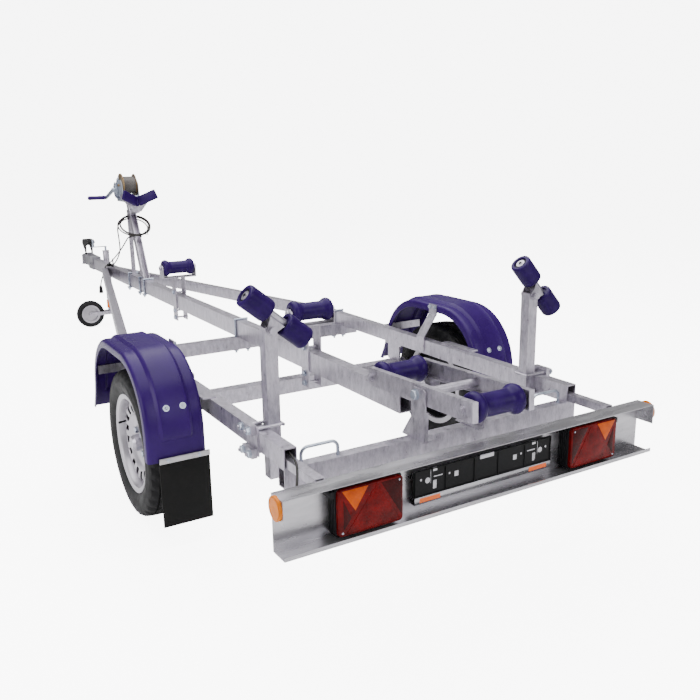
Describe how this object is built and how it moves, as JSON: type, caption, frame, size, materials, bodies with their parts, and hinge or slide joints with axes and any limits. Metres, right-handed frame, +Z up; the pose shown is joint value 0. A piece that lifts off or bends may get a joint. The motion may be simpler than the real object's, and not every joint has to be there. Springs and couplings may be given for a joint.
{
  "type": "boat trailer",
  "caption": "single-axle galvanised boat trailer with keel and side rollers, hand winch, jockey wheel, plastic mudguards and a light board",
  "frame": {"origin": "middle of the length and width, on the ground", "axes": "+X forward to the coupling, +Y left, +Z up"},
  "size_m": [5.1, 1.574, 1.1894],
  "materials": {
    "galvanised": "hot-dip galvanised, matt grey with a spangle",
    "guard_plastic": "blue-violet moulded polypropylene",
    "flap_rubber": "black sheet rubber",
    "strip_aluminium": "plain strip",
    "zinc": "bright zinc plate",
    "roller_rubber": "blue-violet moulded rubber",
    "winch_plate": "yellow zinc plate",
    "coupling_cast": "zinc-plated casting",
    "black_plastic": "black grip",
    "board_metal": "folded bright sheet",
    "lamp": "red and amber lenses on a black base",
    "holder_plastic": "black",
    "lens": "moulded reflector",
    "cable_black": "black sheath",
    "tyre": "black tyre rubber",
    "rim_silver": "silver enamel",
    "jack_orange": "orange band"
  },
  "bodies": {
    "frame": {"keel_beam": "galvanised", "drawbar_rail_left": "galvanised", "drawbar_rail_right": "galvanised", "axle_beam": "galvanised", "mudguard_left": "guard_plastic", "mudguard_right": "guard_plastic", "mud_flaps": "flap_rubber", "flap_strips": "strip_aluminium", "guard_stays": "galvanised", "clamp_bolts": "zinc", "cross_members": "galvanised", "tie_down_loops": "zinc", "roller_post_left": "galvanised", "roller_post_right": "galvanised", "roller_brackets": "galvanised", "bogie_uprights": "galvanised", "winch_post": "galvanised", "bow_pads": "roller_rubber", "winch_frame": "winch_plate", "coupling_body": "coupling_cast", "coupling_handle": "black_plastic", "jack_sleeve": "galvanised", "light_board": "board_metal", "board_arms": "galvanised", "tail_lamp_left": "lamp", "tail_lamp_right": "lamp", "plate_holder": "holder_plastic", "side_reflectors": "lens", "lead_rise": "cable_black", "lead_coil": "cable_black", "lead_fall": "cable_black", "lead_plug": "black_plastic", "board_lead": "cable_black", "lead_glands": "black_plastic"},
    "wheel_left": {"tyre_left": "tyre", "rim_left": "rim_silver", "hub_left": "galvanised"},
    "wheel_right": {"tyre_right": "tyre", "rim_right": "rim_silver", "hub_right": "galvanised"},
    "front_roller": {"front_keel_roller": "roller_rubber"},
    "middle_roller": {"middle_keel_roller": "roller_rubber"},
    "bogie": {"bogie_cradle": "galvanised"},
    "bogie_front_roller": {"bogie_roller_front": "roller_rubber"},
    "bogie_rear_roller": {"bogie_roller_rear": "roller_rubber"},
    "head_left": {"roller_head_left": "galvanised"},
    "head_right": {"roller_head_right": "galvanised"},
    "side_left_outer": {"side_roller_left_outer": "roller_rubber"},
    "side_left_inner": {"side_roller_left_inner": "roller_rubber"},
    "side_right_outer": {"side_roller_right_outer": "roller_rubber"},
    "side_right_inner": {"side_roller_right_inner": "roller_rubber"},
    "drum": {"winch_drum": "winch_plate"},
    "crank": {"winch_crank": "zinc", "winch_grip": "roller_rubber"},
    "jack_slider": {"jack_tube": "zinc", "jack_band": "jack_orange"},
    "jack_fork": {"jockey_fork": "galvanised"},
    "jockey_wheel": {"jockey_tyre": "tyre", "jockey_rim": "rim_silver"},
    "jack_handle": {"jack_crank": "zinc"}
  },
  "joints": [
    {"name": "wheel_left_spin", "type": "hinge", "parent": "frame", "child": "wheel_left", "pos_m": [-1.4, 0.687, 0.273], "axis": [0, 1, 0], "continuous": true},
    {"name": "wheel_right_spin", "type": "hinge", "parent": "frame", "child": "wheel_right", "pos_m": [-1.4, -0.687, 0.273], "axis": [0, 1, 0], "continuous": true},
    {"name": "front_roller_spin", "type": "hinge", "parent": "frame", "child": "front_roller", "pos_m": [0.2, 0, 0.675], "axis": [0, 1, 0], "continuous": true},
    {"name": "middle_roller_spin", "type": "hinge", "parent": "frame", "child": "middle_roller", "pos_m": [-1.405, 0, 0.68], "axis": [0, 1, 0], "continuous": true},
    {"name": "bogie_tilt", "type": "hinge", "parent": "frame", "child": "bogie", "pos_m": [-2.29513, 0, 0.583], "axis": [0, 1, 0], "range_deg": [-15, 1.5]},
    {"name": "bogie_front_roller_spin", "type": "hinge", "parent": "bogie", "child": "bogie_front_roller", "pos_m": [-2.03728, 0, 0.574], "axis": [0, 1, 0], "continuous": true},
    {"name": "bogie_rear_roller_spin", "type": "hinge", "parent": "bogie", "child": "bogie_rear_roller", "pos_m": [-2.504, 0, 0.59029], "axis": [0, 1, 0], "continuous": true},
    {"name": "head_left_rock", "type": "hinge", "parent": "frame", "child": "head_left", "pos_m": [-2.088, 0.501, 0.794], "axis": [1, 0, 0], "range_deg": [-89, 11]},
    {"name": "side_left_outer_spin", "type": "hinge", "parent": "head_left", "child": "side_left_outer", "pos_m": [-2.088, 0.53567, 0.87354], "axis": [0, 0.7771, 0.6293], "continuous": true},
    {"name": "side_left_inner_spin", "type": "hinge", "parent": "head_left", "child": "side_left_inner", "pos_m": [-2.088, 0.41599, 0.77663], "axis": [0, 0.7771, 0.6293], "continuous": true},
    {"name": "head_right_rock", "type": "hinge", "parent": "frame", "child": "head_right", "pos_m": [-2.111, -0.501, 0.794], "axis": [1, 0, 0], "range_deg": [-98, 2]},
    {"name": "side_right_outer_spin", "type": "hinge", "parent": "head_right", "child": "side_right_outer", "pos_m": [-2.111, -0.58225, 0.76354], "axis": [0, 0.6691, 0.7431], "continuous": true},
    {"name": "side_right_inner_spin", "type": "hinge", "parent": "head_right", "child": "side_right_inner", "pos_m": [-2.111, -0.4792, 0.87799], "axis": [0, 0.6691, 0.7431], "continuous": true},
    {"name": "drum_spin", "type": "hinge", "parent": "frame", "child": "drum", "pos_m": [1.09, 0, 1.115], "axis": [0, 1, 0], "continuous": true},
    {"name": "crank_spin", "type": "hinge", "parent": "frame", "child": "crank", "pos_m": [1.174, 0.075, 1.08269], "axis": [0, 1, 0], "continuous": true},
    {"name": "jack_lift", "type": "slide", "parent": "frame", "child": "jack_slider", "axis": [0, 0, 1], "range_m": [-0.15, 0.005]},
    {"name": "jack_handle_turn", "type": "hinge", "parent": "frame", "child": "jack_handle", "pos_m": [2.08, -0.056, 0.6], "axis": [0, 0, 1], "range_deg": [-5401, 181]},
    {"name": "jack_swivel", "type": "hinge", "parent": "jack_slider", "child": "jack_fork", "pos_m": [2.08, -0.056, 0.12], "axis": [0, 0, 1], "continuous": true},
    {"name": "jockey_wheel_spin", "type": "hinge", "parent": "jack_fork", "child": "jockey_wheel", "pos_m": [2.08, 0.104, 0.104], "axis": [1, 0, 0], "continuous": true}
  ],
  "couplings": [
    {"joint": "crank_spin", "follows": "drum_spin", "ratio": -4},
    {"joint": "jack_handle_turn", "follows": "jack_lift", "rad_per_m": 628.32}
  ]
}
